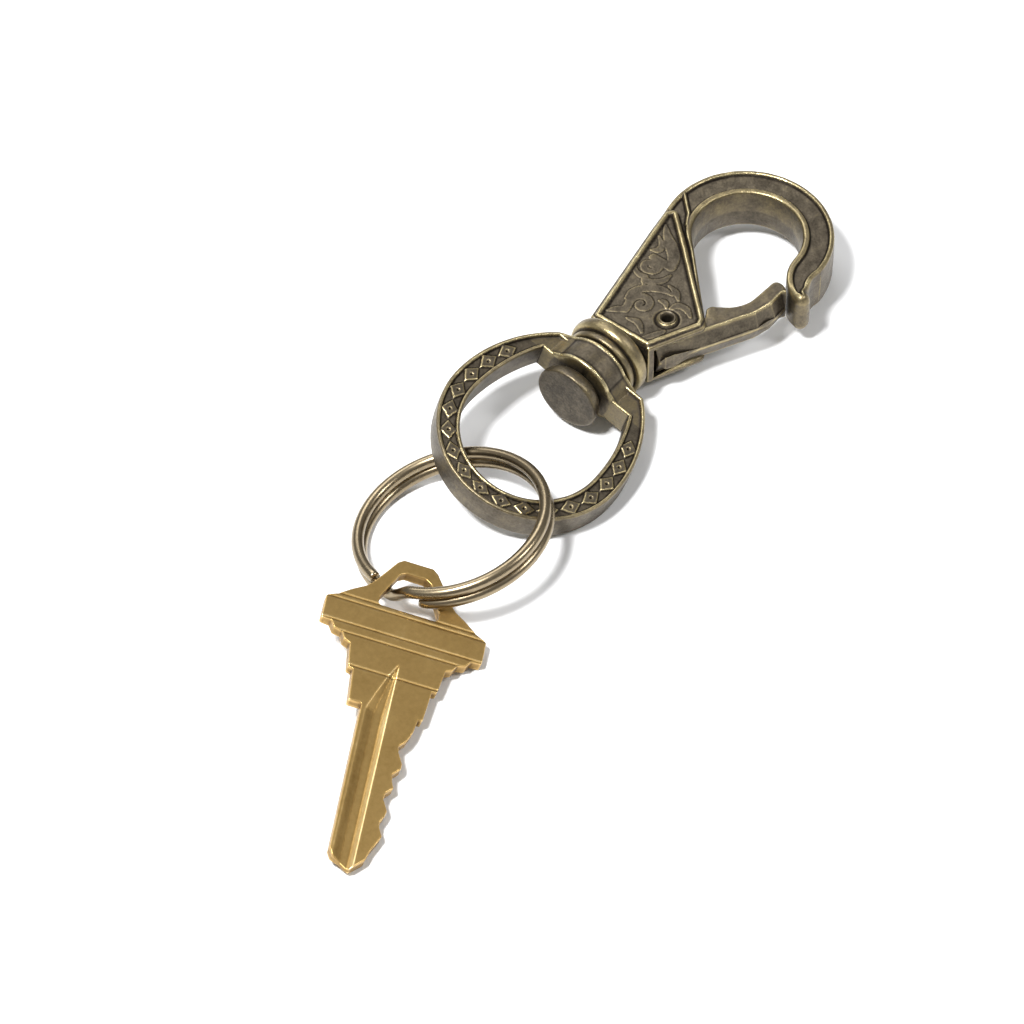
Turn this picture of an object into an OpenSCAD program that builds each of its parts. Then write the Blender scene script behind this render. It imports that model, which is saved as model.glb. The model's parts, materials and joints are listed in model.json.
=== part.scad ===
// Swivel snap clip with a D-shaped bow, a split ring and a door key, lying on a table.
// Millimetres. The origin is the centre of the hook's round eye, +X points to the hook's crown,
// +Y to its closed side and +Z up, square to the hook's flat faces.

/* [Hook] */
// Radius of the round eye
eye_r = 8; // [7.8:0.1:8.2]
// Radius of the hook's outer edge
hook_r = 12.5; // [12.3:0.1:12.8]
// Thickness of the hook
hook_t = 7; // [6.8:0.1:7.2]
// Depth of the sunken faces
sink = 0.45; // [0.3:0.05:0.5]

/* [Body] */
// Distance from the eye's centre back to the middle of the collar
collar_back = 28.8; // [28.7:0.1:29.2]
// Sideways offset of the swivel axis from the eye's centre
axis_y = 3.7; // [3.5:0.1:3.8]
// Thickness over the body's raised frame
body_t = 8.2; // [8:0.1:8.4]
// Radius of the collar
collar_r = 6.3; // [6:0.1:6.4]
// Width of the collar
collar_w = 3.4; // [3.2:0.1:3.5]

/* [Gate] */
// Thickness of the gate
gate_t = 5.6; // [5.4:0.1:5.7]
// Height of the slot that the gate turns in
slot_t = 5.9; // [5.9:0.1:6]
// Outer radius of the tubular pin
pin_r = 1; // [0.9:0.05:1.05]
// Radius of the hole down the pin
pin_hole_r = 0.6; // [0.5:0.05:0.65]

/* [Swivel] */
// Radius of the swivel rivet's shank
shank_r = 2; // [1.8:0.1:2.1]
// Radius of the rivet's head
head_r = 5; // [4.8:0.1:5.2]
// Radial clearance of the parts that turn on a pin or shank
running = 0.06; // [0.04:0.01:0.1]

/* [Bow] */
// Half the width of the bow
bow_half = 14.15; // [14:0.05:14.3]
// Thickness of the bow's limbs
bow_t = 4.7; // [4.5:0.1:4.8]
// Half the width of the opening in the bow
bow_open_half = 10.5; // [10.4:0.1:10.6]
// Radius of the bow's saddle round the rivet
saddle_r = 5.4; // [5.2:0.1:5.5]
// Turn of the bow about the swivel axis as it lies on the table
bow_roll = 15.5; // [14:0.5:16]

/* [Ring and key] */
// Radius of the split ring at the middle of its wire
ring_r = 13.4; // [13.3:0.1:13.5]
// Diameter of the ring's wire
wire_d = 1.75; // [1.7:0.05:1.8]
// Thickness of the key
key_t = 1.9; // [1.8:0.05:2]

/* [Hidden] */
$fn = 72;

brass_dark = [0.42, 0.37, 0.27];
brass_mid = [0.52, 0.46, 0.32];
brass_key = [0.68, 0.53, 0.30];
steel = [0.62, 0.62, 0.6];

// Directions from the eye's centre to the tangent points of the body's two long edges
outer_tangent = 100;
eye_tangent = 133;
// Collar end of the body
base_x = -26.4;
base_half = 4.6;
base_drop = 5.6;
// Rounded corner of the body beside the gate
corner_r = 1.4;
corner_run = 16.3;
// Raised frame round the body's sunken panel
frame_w = 0.85;
// The nose bends away from the hook round this point
nose_c = [0.6, -14.8];
nose_in_r = 6.8;
nose_sweep = 68;
nose_flare = 2.04;
nose_end_r = 1.22;
// Gate pivot and the gate's outline
pivot = [-20.25, -0.6];
hub_r = 2.3;
// Height and radius of the bosses that the pin's lips bear on
lip_z = body_t / 2 - 0.15;
boss_r = 1.75;
lip_r = 1.45;
gate_back = [[-25.2, -2.7], [-11.3, -10.15], [-8.3, -11], [-5.9, -10.95]];
gate_tip = [[-4.95, -10.45], [-4.4, -9.75], [-4.15, -9.1], [-4.3, -8.35], [-4.9, -7.95]];
gate_inner = [[-6.3, -7.8], [-8.2, -7.65], [-9.9, -7.4], [-11.4, -6.6], [-12.5, -5.6], [-13.3, -4.4],
              [-14, -3.6], [-14.9, -3.5], [-16.2, -3.6]];
// Torsion spring
spring_wire = 0.4;
spring_turns = 3.3;
spring_from = 118;
spring_leg = 0.6;
spring_gap = 2.2;
// Swivel stack along the axis, measured from the collar's middle
saddle_w = 4.5;
saddle_gap = 0.3;
head_under = 0.3;
head_w = 2.4;
shank_in = 3.8;
neck_r = 4.2;
// Bow
bow_shift = -0.7;
bow_cx = -18;
bow_in_cx = -18.3;
bow_open_end = 10.75;
shoulder = [-2.7, 7.6];
limb_root = [-3.7, 8.6];
inner_corner = [-6.5, 7.8];
bow_rim = 0.55;
diamonds = 17;
// Ring and key as they lie
ring_at = [-65.48, 2.55, -0.89];
ring_heading = -52.5;
ring_tilt_x = -6.24;
ring_tilt_y = -14.63;
ring_jog_at = 229;
ring_jog = 19;
// How far each free end of the wire stops short of the jog
ring_lower_gap = 3;
ring_upper_gap = 14;
coil_gap = 0.06;
key_at = [-117.45, -20.27, -4.94];
key_heading = 27.24;
key_pitch = -4.22;
key_roll = 16.1;

function polar(r, a) = [r * cos(a), r * sin(a)];
function arc(c, r, a0, a1, n) = [for (i = [0:n]) c + polar(r, a0 + (a1 - a0) * i / n)];
function unit(v) = v / norm(v);
// Points of a polygon with each corner rounded to radius r
function round_corner(a, b, c, r, n) =
    let (u = unit(a - b), v = unit(c - b), half = acos(u * v) / 2,
         m = b + unit(u + v) * r / sin(half), s = m - b,
         p = b + u * r / tan(half) - m, q = b + v * r / tan(half) - m,
         a0 = atan2(p[1], p[0]), d = atan2(q[1], q[0]) - a0,
         turn = d > 180 ? d - 360 : d < -180 ? d + 360 : d)
    [for (i = [0:n]) m + polar(r, a0 + turn * i / n)];
function rounded(pts, r, n = 6) =
    [for (i = [0:len(pts) - 1], p = round_corner(pts[(i + len(pts) - 1) % len(pts)], pts[i],
        pts[(i + 1) % len(pts)], r, n)) p];
// Radius of the nose's outer edge about nose_c, t degrees round from the hook
function nose_out_r(t) = norm(nose_c) - hook_r + nose_flare * pow(t / nose_sweep, 1.5);
function nose_at(r, t) = nose_c + polar(r, 92 + t);

eye_normal = polar(1, eye_tangent);
eye_along = polar(1, eye_tangent + 90);
corner_c = eye_normal * (eye_r + corner_r) + eye_along * corner_run;
base_top = [base_x, axis_y + base_half];
base_bottom = [base_x, axis_y - base_drop];
// Direction of the body's edge beside the gate, tangent to the corner circle
base_to_corner = corner_c - base_bottom;
corner_tilt = atan2(base_to_corner[1], base_to_corner[0]) - asin(corner_r / norm(base_to_corner));
corner_low = corner_c + polar(corner_r, corner_tilt - 90);

module slab(t) { linear_extrude(t, center = true) children(); }
module on_axis() { translate([-collar_back, axis_y, 0]) rotate([0, 90, 0]) children(); }
module both_faces() { children(); mirror([0, 0, 1]) children(); }

// Plan of the wedge-shaped body
module wedge_plan() {
    polygon([base_top, polar(hook_r, outer_tangent), [0, 0], polar(eye_r, eye_tangent),
             corner_c - corner_r * eye_normal, corner_c, corner_low, base_bottom]);
    translate(corner_c) circle(corner_r);
}
// Raised frame: the wedge pulled in a little and ended short of the hook
module frame_plan() {
    polygon(rounded([base_top + [0.9, -0.7], [-4.2, 10.9], corner_c + [1.9, -0.9], corner_low + [-0.5, 0.1],
                     base_bottom + [0.9, 0.7]], 1));
}
// Space between the body, the gate and the nose, open to the outside
module mouth_plan() {
    polygon(concat([[0, 0], polar(eye_r, eye_tangent), eye_normal * eye_r + eye_along * 19,
                    [-24, -22], [-9, -22], nose_at(nose_in_r + 1, nose_sweep + 12)],
                   [for (t = [nose_sweep + 8:-8:-2]) nose_at(nose_in_r, t)]));
}
module nose_plan() {
    polygon(concat([[0, -10]], [for (t = [0:5:nose_sweep]) nose_at(nose_out_r(t), t)],
                   [for (t = [nose_sweep:-5:0]) nose_at(nose_in_r, t)]));
}
module hook_panel_plan() {
    difference() {
        circle(hook_r - 0.65);
        circle(eye_r + 0.9);
        polygon([[0, 0], polar(20, 82), [-4, 20], [-30, 0], [-20, -25], polar(22, -92)]);
    }
    polygon(concat([for (t = [0:5:nose_sweep - 6]) nose_at(nose_out_r(t) + 0.6, t)],
                   [for (t = [nose_sweep - 6:-5:0]) nose_at(nose_in_r - 0.85, t)]));
}
module slot_plan() {
    polygon([[-25.6, -0.2], [-22.6, 2.2], [-9, 2.2], [-9, -14], [-25.6, -14]]);
}
module collar_solid() {
    on_axis() rotate_extrude()
        polygon(concat([[0, -collar_w / 2]], arc([collar_r - 1.3, 1.3 - collar_w / 2], 1.3, -90, 0, 6),
                       arc([collar_r - 1.3, collar_w / 2 - 1.3], 1.3, 0, 90, 6), [[0, collar_w / 2]]));
}
module clip_body() {
    color(brass_dark) difference() {
        union() {
            slab(hook_t) difference() {
                union() {
                    circle(hook_r);
                    nose_plan();
                }
                mouth_plan();
            }
            slab(body_t - 0.7) wedge_plan();
            slab(body_t) frame_plan();
            translate(concat(nose_at(nose_in_r - nose_end_r, nose_sweep), 0))
                cylinder(h = hook_t, r = nose_end_r, center = true);
            collar_solid();
            on_axis() cylinder(h = 4, r = neck_r);
        }
        cylinder(h = 20, r = eye_r, center = true);
        both_faces() {
            translate([0, 0, hook_t / 2 - sink]) linear_extrude(3) hook_panel_plan();
            translate([0, 0, body_t / 2 - sink]) linear_extrude(2) difference() {
                offset(delta = -frame_w) frame_plan();
                translate(pivot) circle(boss_r);
            }
            translate(concat(pivot, lip_z)) cylinder(h = 2, r = boss_r);
        }
        slab(slot_t) slot_plan();
        translate(concat(pivot, 0)) cylinder(h = 20, r = pin_r, center = true);
        on_axis() translate([0, 0, -5]) cylinder(h = 5 + shank_in, r = shank_r);
    }
}

module gate() {
    color(brass_mid) difference() {
        union() {
            slab(gate_t) {
                polygon(concat(gate_back, gate_tip, gate_inner,
                               [pivot + polar(hub_r, 65), pivot + polar(hub_r, 120)]));
                translate(pivot) circle(hub_r);
            }
            // Ridge along the middle of the gate's back
            translate([gate_back[1][0], gate_back[1][1], 0]) rotate([0, 0, 151.8]) rotate([90, 0, 90])
                linear_extrude(9) polygon([[-0.3, -gate_t / 2], [0.35, 0], [-0.3, gate_t / 2], [-1, 0]]);
        }
        translate(concat(pivot, 0)) cylinder(h = 20, r = pin_r + running, center = true);
        // Pocket for the spring's coils
        translate(concat(pivot, 0)) slab(spring_gap) circle(hub_r + 0.4);
    }
}

// Tubular rivet with a rolled lip at each end
module gate_pin() {
    color(brass_mid) translate(concat(pivot, 0)) difference() {
        union() {
            cylinder(h = 2 * lip_z + 0.4, r = pin_r, center = true);
            both_faces() translate([0, 0, lip_z]) cylinder(h = 0.25, r1 = lip_r, r2 = lip_r - 0.2);
        }
        cylinder(h = 20, r = pin_hole_r, center = true);
    }
}

// Wire swept along points, with rings square to the path
function sweep_points(path, r, n) = [for (i = [0:len(path) - 1])
    let (a = path[max(i - 1, 0)], b = path[min(i + 1, len(path) - 1)], t = unit(b - a),
         u = unit(cross(abs(t[2]) < 0.9 ? [0, 0, 1] : [1, 0, 0], t)), v = cross(t, u))
    for (k = [0:n - 1]) path[i] + r * (cos(360 * k / n) * u + sin(360 * k / n) * v)];
module wire(path, r, n) {
    m = len(path);
    sides = [for (i = [0:m - 2], k = [0:n - 1], f = [0, 1])
        let (a = i * n + k, b = i * n + (k + 1) % n)
        f == 0 ? [a, b, b + n] : [a, b + n, a + n]];
    polyhedron(sweep_points(path, r, n),
               concat(sides, [[for (k = [n - 1:-1:0]) k]], [[for (k = [0:n - 1]) (m - 1) * n + k]]));
}

spring_r = pin_r + running + 0.14 + spring_wire / 2;
module gate_spring() {
    rise = spring_gap - spring_wire - 0.2;
    coil = [for (a = [0:24:360 * spring_turns])
        concat(polar(spring_r, spring_from + a), -rise / 2 + rise * a / (360 * spring_turns))];
    leg = concat(polar(spring_leg, spring_from + 360 * spring_turns + 80), 0);
    color(steel) translate(concat(pivot, 0))
        wire(concat(coil, [coil[len(coil) - 1] + leg]), spring_wire / 2, 8);
}

module swivel_rivet() {
    under = -collar_w / 2 - saddle_gap - saddle_w - head_under;
    color(brass_dark) on_axis() union() {
        translate([0, 0, under - 0.5]) cylinder(h = shank_in - under + 0.5, r = shank_r);
        rotate_extrude() polygon(concat([[0, under], [2.9, under]],
            [for (a = [15:15:90]) [head_r - 2.1 + 2.1 * sin(a), under - (head_w - 0.6) * (1 - cos(a))]],
            arc([head_r - 0.4, under - head_w + 0.4], 0.4, 0, -90, 5), [[0, under - head_w]]));
    }
}

// Outer edge of one limb, from its root at the saddle round to the bow's far end
function bow_half_edge(root, cx, half, end, n) =
    let (dx = root[0] - cx, drop = half - root[1], r = (dx * dx + drop * drop) / (2 * drop),
         sweep = asin(dx / r))
    concat([for (i = [n:-1:1]) [cx, half - r] + r * [sin(sweep * i / n), cos(sweep * i / n)]],
           [for (i = [0:2 * n]) [cx, 0] + [-end * sin(45 * i / n), half * cos(45 * i / n)]]);
function mirrored(pts) = concat(pts, [for (i = [len(pts) - 1:-1:0]) [pts[i][0], -pts[i][1]]]);
bow_outer = mirrored(concat([shoulder], bow_half_edge(limb_root, bow_cx, bow_half, bow_half, 8)));
bow_inner = mirrored(bow_half_edge(inner_corner, bow_in_cx, bow_open_half, bow_open_end, 8));
// Place and direction a share s of the way along the middle of the bow's channel
function bow_channel(s) =
    let (a = 180 + (s - 0.5) * 250, c = [bow_cx - 0.1, 0], r = (bow_half + bow_open_half) / 2 + 0.05)
    abs((s - 0.5) * 250) <= 90 ? concat(c + polar(r, a), a)
    : let (over = (abs((s - 0.5) * 250) - 90) * PI / 180 * r, side = s > 0.5 ? -1 : 1,
           drop = over * over / 46)
      [c[0] + over, side * (r - drop), side * (90 - over * 2.4)];

// Cross-section of the saddle: round over the shank, blending down to the limbs
module saddle_plan() {
    side = [for (a = [52:-6:-52]) polar(saddle_r, 90 - a)];
    polygon(concat(side, [[-7.6, bow_t / 2], [-7.6, -bow_t / 2]], [for (p = side) -p],
                   [[7.6, -bow_t / 2], [7.6, bow_t / 2]]));
}
module bow() {
    side_x = collar_w / 2 + saddle_gap;
    color(brass_dark) translate([-collar_back, axis_y, 0]) rotate([bow_roll, 0, 0]) difference() {
        union() {
            translate([0, bow_shift, 0]) {
                difference() {
                    slab(bow_t) difference() {
                        polygon(bow_outer);
                        polygon(bow_inner);
                    }
                    both_faces() translate([0, 0, bow_t / 2 - sink]) linear_extrude(1) difference() {
                        offset(delta = -bow_rim) polygon(bow_outer);
                        offset(delta = bow_rim) polygon(bow_inner);
                        translate([-7, -20]) square([20, 40]);
                    }
                }
                both_faces() for (i = [0:diamonds - 1]) {
                    c = bow_channel((i + 0.5) / diamonds);
                    translate([c[0], c[1], bow_t / 2 - sink - 0.1]) rotate([0, 0, c[2]])
                        linear_extrude(0.35) polygon([[-1.1, 0], [0, -1.2], [1.1, 0], [0, 1.2]]);
                }
            }
            translate([-side_x, 0, 0]) rotate([90, 0, -90]) linear_extrude(saddle_w) saddle_plan();
        }
        rotate([0, -90, 0]) cylinder(h = 12, r = shank_r + running);
        // Nothing of the bow reaches the collar
        translate([-side_x, -20, -20]) cube([20, 40, 40]);
    }
}

// Round wire wound twice, with a short jog where it steps from the lower turn to the upper
module ring_flat() {
    lift = wire_d / 2 + coil_gap / 2;
    ends = [concat(polar(ring_r, 0), -lift), concat(polar(ring_r, ring_jog), lift)];
    run = ends[1] - ends[0];
    translate([0, 0, lift]) rotate([0, 0, ring_jog]) turn(360 - ring_jog - ring_upper_gap);
    translate([0, 0, -lift]) rotate([0, 0, ring_jog + ring_lower_gap]) turn(360 - ring_jog - ring_lower_gap);
    for (p = ends) translate(p) sphere(wire_d / 2 + 0.03, $fn = 32);
    translate(ends[0]) rotate([0, acos(run[2] / norm(run)), atan2(run[1], run[0])])
        cylinder(h = norm(run), r = wire_d / 2 - 0.03, $fn = 32);
}
module turn(sweep) {
    rotate_extrude(angle = sweep) translate([ring_r, 0]) circle(wire_d / 2, $fn = 32);
}
module split_ring() {
    color(brass_mid) translate(ring_at) rotate([0, 0, ring_heading]) rotate([ring_tilt_x, ring_tilt_y, 0])
        rotate([0, 0, ring_jog_at]) ring_flat();
}

// Outline of the key from its tip round: straight side, head, loop, head, cut side
key_spine = [[0.2, 0.4], [1.5, 2.6], [2.5, 3.15], [25.2, 3.4], [25.2, 5.2], [30, 5.6], [30.2, 6.3],
             [33.8, 6.8], [34.2, 7.7], [35.2, 8.2], [35.5, 9.4], [36.5, 10], [36.6, 11.4], [40.2, 11.4],
             [40.9, 9.9], [42.3, 8.1], [43.4, 6.4], [44.4, 5.5], [48.5, 2.9], [49.1, 2.1]];
key_cuts = [[25.2, -4.6], [23, -4.3], [21.4, -3.7], [20.3, -2.8], [19.4, -3], [17.8, -3.8], [17, -3.8],
            [15.8, -2.8], [14.8, -3], [13.8, -3.4], [12.8, -2.5], [11.8, -2.4], [10.2, -3.2], [9.4, -3.1],
            [8.2, -2.6], [7.4, -2.7], [6.2, -3.3], [5.2, -2.9], [3.6, -2.2], [2, -1.8], [0.2, -0.1]];
key_outline = concat(key_spine, [for (i = [len(key_spine) - 1:-1:4]) [key_spine[i][0], -key_spine[i][1]]],
                     key_cuts);
key_hole = [[41.1, 4.3], [42.4, 4.2], [46.6, 2.2], [47.1, 1.4], [47.1, -1.4], [46.6, -2.2], [42.4, -4.2],
            [41.1, -4.3]];
score_x = [30.4, 35.2, 36.7, 40.4];
module key_groove(y, w, d, x_end) {
    translate([-1, y, key_t / 2]) rotate([90, 0, 90])
        linear_extrude(x_end + 1)
            polygon([[-w / 2, 0.01], [w / 2, 0.01], [w / 2 - d * 1.2, -d], [-w / 2, -d]]);
}
module key_flat() {
    difference() {
        slab(key_t) difference() {
            polygon(key_outline);
            polygon(key_hole);
        }
        key_groove(1.1, 2.2, 0.7, 31);
        mirror([0, 0, 1]) key_groove(-1.1, 2, 0.6, 31);
        both_faces() for (x = score_x) translate([x, -15, key_t / 2 - 0.12]) cube([0.22, 30, 1]);
    }
}
module key() {
    color(brass_key) translate(key_at) rotate([0, 0, key_heading]) rotate([0, key_pitch, 0])
        rotate([key_roll, 0, 0]) key_flat();
}

clip_body();
gate();
gate_pin();
gate_spring();
swivel_rivet();
bow();
split_ring();
key();
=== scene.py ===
import json
import math

import bpy
import numpy as np
from mathutils import Matrix, Vector
from mathutils.geometry import delaunay_2d_cdt


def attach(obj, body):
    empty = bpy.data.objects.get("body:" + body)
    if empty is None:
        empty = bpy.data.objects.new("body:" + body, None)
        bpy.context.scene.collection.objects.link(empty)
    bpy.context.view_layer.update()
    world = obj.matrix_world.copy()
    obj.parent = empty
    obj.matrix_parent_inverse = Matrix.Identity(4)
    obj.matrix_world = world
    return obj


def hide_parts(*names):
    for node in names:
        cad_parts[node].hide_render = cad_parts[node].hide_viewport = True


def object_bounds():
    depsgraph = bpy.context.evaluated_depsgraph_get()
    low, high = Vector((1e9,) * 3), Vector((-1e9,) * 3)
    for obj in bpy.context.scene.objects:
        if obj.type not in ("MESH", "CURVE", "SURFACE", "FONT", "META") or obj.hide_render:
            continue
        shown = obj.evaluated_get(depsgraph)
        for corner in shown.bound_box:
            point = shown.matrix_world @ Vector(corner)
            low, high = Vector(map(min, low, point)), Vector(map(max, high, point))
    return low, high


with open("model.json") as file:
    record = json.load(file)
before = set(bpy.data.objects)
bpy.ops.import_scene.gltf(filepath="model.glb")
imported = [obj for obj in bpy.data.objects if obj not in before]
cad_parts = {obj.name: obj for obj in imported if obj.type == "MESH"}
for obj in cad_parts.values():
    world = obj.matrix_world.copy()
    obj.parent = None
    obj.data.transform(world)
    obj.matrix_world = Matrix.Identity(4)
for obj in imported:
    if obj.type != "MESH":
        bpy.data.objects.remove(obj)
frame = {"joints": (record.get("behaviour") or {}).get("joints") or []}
cad_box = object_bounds()

# Lengths are in millimetres until a mesh is made, in the CAD frame: the origin is the hook eye's
# centre, +X points to the hook's crown and +Z up.
MM = 0.001
JOINTS = {joint["name"]: joint for joint in frame["joints"]}


def joint_place(name):
    return np.array(JOINTS[name]["pos_m"]) / MM


# Spacing of points on outlines that are only measured from
FRAME_PITCH, BOW_PITCH = 0.3, 0.4
# Turns of solids of revolution: local +Z stays up, or runs along the swivel towards the hook
UPRIGHT = Matrix.Identity(3)
TO_HOOK = Matrix.Rotation(math.radians(90), 3, "Y")
# Hook and body
EYE_R = 8.0
HOOK_R = 12.5
HOOK_HALF_T = 3.5
BODY_HALF_T = 4.1
SLOT_HALF_T = 2.95
BASE_X = -26.4
BASE_TOP_Y = 8.3
BASE_LOW_Y = -1.9
EYE_TANGENT = 133
OUTER_TANGENT = 100
CORNER_R = 1.4
CORNER_RUN = 16.3
HOOK_END, EYE_END = -88, -87.4      # where the hook's outside and its eye turn into the nose, in degrees
NOSE_C = np.array([0.6, -14.8])
NOSE_IN_R = 6.8
NOSE_START = 92
NOSE_SWEEP = 68
NOSE_FLARE = 2.04
NOSE_END_R = 1.22
NOSE_END_TRIM = 8
CLIP_EDGE_R = 0.38
RIM_W = 0.62
RIM_DROP = 0.47
INNER_RIM_W = 0.8
HOOK_TO_BODY = (3.5, 8.0)           # distances behind the eye's centre
BODY_SWELL = 0.22
BODY_RIM_NARROWS = 0.4
RIB_RISE = 0.05
RIB_STEEPNESS = 3.2
FRAME_W = 0.86
FRAME_CROWN = 0.42
PANEL_Z = 3.6
SCROLL_RISE = 0.4
FILLET_H = 0.2
FILLET_W = 0.2
PIVOT = joint_place("gate_hinge")[:2]
LIP_Z = 3.95
LIP_R = 1.75
LIP_FLAT_R = 1.3
LIP_SLOPE = 1.1
LIP_GROOVE_HALF_W = 0.2
LIP_GROOVE_DEPTH = 0.12
# Gate, its pin and its spring
PIN_AT = (*PIVOT, 0)
PIN_R = 1.0
RUNNING = 0.06                      # clearance of a bore on its pin
BORE_HALF_L = 6
HUB_R = 2.25
GATE_EDGE_R = 0.3
BACK_HALF_T = 0.3                   # at the gate's back edge, from which it swells
GATE_SWELL = 2.5
POCKET_R = 2.7
POCKET_HALF_T = 1.1
SPRING_R = 1.4
SPRING_WIRE_R = 0.2
SPRING_TURNS = 3.3
SPRING_FROM = 118
SPRING_RISE = 1.6
# Swivel
SWIVEL = joint_place("bow_swivel")
COLLAR_R = 6.3
COLLAR_HALF_W = 1.7
NECK_END = 2.6
SHANK_R = 2.0
SHANK_END = 3.8
HEAD_R = 5.0
HEAD_FACE = -9.4
HEAD_MID = -8.85
HEAD_BACK = -6.8
HEAD_RIM_R = 0.35
DOME_W, DOME_H = 2.15, 2.0
# Bow, in its own frame about the swivel
BOW_ROLL = 15.5
BOW_HALF_T = 2.35
BOW_EDGE_R = 0.3
BOW_RIM = (0.45, 0.65)              # where the rim ends and its channel begins
CHANNEL_DEPTH = 0.55
CHANNEL_ROOT = (-6.2, 8.95)
DIAMOND_RISE = 0.26
DIAMOND_HALF_L, DIAMOND_HALF_W = 1.68, 1.3
DOT_R = (0.13, 0.25)
BOW_SHIFT = -0.7
BOW_CX = -18.0
BOW_HALF = 14.15
BOW_OPEN_HALF = 10.5
BOW_OPEN_END = 10.75
BOW_IN_CX = -18.3
LIMB_ROOT = (-3.7, 8.6)
SHOULDER = (-2.7, 7.6)
INNER_CORNER = (-6.5, 7.8)
SADDLE_R = 5.4
SADDLE_X = (-6.5, -2.0)
BAND_RIM = 0.8                      # the saddle's band is dished between two rims
BAND_DIP = 0.15
BAND_STEPS = 12
DIAMONDS = 17
CHANNEL_END = 3.2
# Split ring
RING_R = 13.4
WIRE_R = 0.875
RING_LIFT = 0.905
RING_JOG = 19
RING_UPPER_GAP = 10
RING_LOWER_GAP = 3
RING_POINTS = 420
RING_AT = (-65.48, 2.55, -0.89)
RING_TURN = (-6.24, -14.63, -52.5)
RING_JOG_AT = 229
# Key
KEY_HALF_T = 0.95
KEY_EDGE_R = 0.14
KEY_AT = (-117.45, -20.27, -4.94)
KEY_TURN = (16.1, -4.22, 27.24)
GROOVE_TOP, GROOVE_LOW = 2.75, -0.45
GROOVE_DEPTH = 0.55
GROOVE_START = 32.6
GROOVE_RUN = 8.0
DARK_SIDE_W, BRIGHT_SIDE_W = 1.35, 0.75
SCORES = (30.4, 35.2, 36.7, 40.2, 41.0)
SCORE_DEPTH = 0.12
SCORE_HALF_W = 0.11


# ---------------------------------------------------------------- plane geometry

def polar(r, deg):
    """Points at radius r and angle deg, in degrees."""
    a = np.radians(deg)
    return np.stack([r * np.cos(a), r * np.sin(a)], -1)


def arc(centre, r, a0, a1):
    pitch = 0.12
    n = max(2, int(abs(math.radians(a1 - a0)) * r / pitch) + 1)
    return np.asarray(centre) + polar(r, np.linspace(a0, a1, n + 1))


def smooth(x, lo, hi):
    """0 up to lo and 1 from hi on, with a soft step between."""
    t = np.clip((x - lo) / (hi - lo), 0, 1)
    return t * t * (3 - 2 * t)


def closed_loop(points, pitch):
    """Points evenly spread along each side of a closed outline, running counter-clockwise."""
    points = np.asarray(points, float)
    keep = np.linalg.norm(points - np.roll(points, 1, 0), axis=1) > 1e-4
    points = points[keep]
    nxt = np.roll(points, -1, 0)
    area = (points[:, 0] * nxt[:, 1] - nxt[:, 0] * points[:, 1]).sum()
    if area < 0:
        points = points[::-1]
        nxt = np.roll(points, -1, 0)
    out = []
    for a, b in zip(points, nxt):
        n = max(1, round(float(np.linalg.norm(b - a)) / pitch))
        out += [a + (b - a) * i / n for i in range(n)]
    return np.array(out)


def round_corners(points, radii, n=6):
    """The outline with each corner replaced by an arc of the given radius."""
    straight = 1.5              # half angle in radians, above which a corner needs no arc
    out = []
    count = len(points)
    for i in range(count):
        a, b, c = (np.asarray(points[(i + k) % count], float) for k in (-1, 0, 1))
        r = radii[i] if isinstance(radii, (list, tuple)) else radii
        u, v = (a - b) / np.linalg.norm(a - b), (c - b) / np.linalg.norm(c - b)
        half = math.acos(float(np.clip(u @ v, -1, 1))) / 2
        if r <= 0 or half > straight:
            out.append(b)
            continue
        m = b + (u + v) / np.linalg.norm(u + v) * r / math.sin(half)
        p, q = b + u * r / math.tan(half) - m, b + v * r / math.tan(half) - m
        a0 = math.degrees(math.atan2(p[1], p[0]))
        turn = (math.degrees(math.atan2(q[1], q[0])) - a0 + 180) % 360 - 180
        out += list(m + polar(r, a0 + turn * np.linspace(0, 1, n + 1)))
    return np.array(out)


def segment_distance(p, a, b):
    """Distance of points p from segment a-b, and where along it the nearest point lies."""
    d = b - a
    t = np.clip((p - a) @ d / max(float(d @ d), 1e-12), 0, 1)
    off = p - a - t[:, None] * d
    return np.hypot(off[:, 0], off[:, 1]), t


def distance(p, line, closed=True):
    """Distance of points from a line of points."""
    ends = np.roll(line, -1, 0) if closed else line[1:]
    best = np.full(len(p), 1e9)
    for a, b in zip(line, ends):
        best = np.minimum(best, segment_distance(p, a, b)[0])
    return best


def inside(p, loop):
    """Whether points lie within a closed outline."""
    odd = np.zeros(len(p), bool)
    for a, b in zip(loop, np.roll(loop, -1, 0)):
        cross = (a[1] > p[:, 1]) != (b[1] > p[:, 1])
        if abs(b[1] - a[1]) > 1e-12:
            odd ^= cross & (p[:, 0] < (b[0] - a[0]) * (p[:, 1] - a[1]) / (b[1] - a[1]) + a[0])
    return odd


def depth(p, loop):
    """Distance inside a closed outline, negative outside it."""
    return np.where(inside(p, loop), 1, -1) * distance(p, loop)


def along(p, line):
    """Length along an open line and signed distance to its left, of each point."""
    best = np.full(len(p), 1e9)
    s = np.zeros(len(p))
    side = np.zeros(len(p))
    run = 0.0
    for a, b in zip(line, line[1:]):
        d, t = segment_distance(p, a, b)
        size = float(np.linalg.norm(b - a))
        better = d < best
        turn = (b[0] - a[0]) * (p[:, 1] - a[1]) - (b[1] - a[1]) * (p[:, 0] - a[0])
        best = np.where(better, d, best)
        s = np.where(better, run + t * size, s)
        side = np.where(better, np.sign(turn) * d, side)
        run += size
    return s, side, run


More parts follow.
